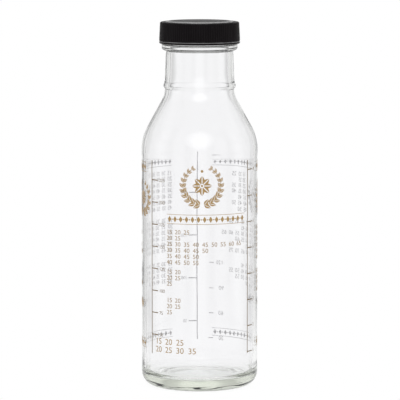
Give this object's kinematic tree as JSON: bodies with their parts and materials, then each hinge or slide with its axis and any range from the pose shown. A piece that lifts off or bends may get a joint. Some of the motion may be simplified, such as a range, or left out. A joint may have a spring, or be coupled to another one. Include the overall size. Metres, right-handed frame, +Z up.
{
  "type": "glass sauce bottle",
  "caption": "Clear round glass bottle with a cone shoulder, ringed neck, black ribbed screw cap with foam liner, and fired measuring scales up the body.",
  "frame": {"origin": "centre of the foot ring, on the surface the bottle stands on", "axes": "+Z up along the bottle's axis; -Y faces the front, between the left and right printed scales; +X to the right"},
  "size_m": [0.058, 0.058, 0.1828],
  "materials": {
    "clear_glass": "polished, clear with a faint grey green edge",
    "black_plastic": "satin, moulded",
    "liner_foam": "matt closed-cell foam",
    "fired_print": "satin fired enamel, tan brown"
  },
  "bodies": {
    "bottle": {"glass_bottle": "clear_glass", "scale_print_left": "fired_print", "scale_print_right": "fired_print", "scale_print_back": "fired_print"},
    "liner": {"cap_liner": "liner_foam"},
    "cap": {"screw_cap": "black_plastic"}
  },
  "joints": [
    {"name": "cap_lift", "type": "slide", "parent": "bottle", "child": "liner", "axis": [0, 0, 1], "range_m": [0, 0.0108]},
    {"name": "cap_turn", "type": "hinge", "parent": "liner", "child": "cap", "pos_m": [0, 0, 0.17976], "axis": [0, 0, 1], "range_deg": [0, 900]}
  ],
  "couplings": [
    {"joint": "cap_lift", "follows": "cap_turn", "m_per_rad": 0.0006737}
  ]
}
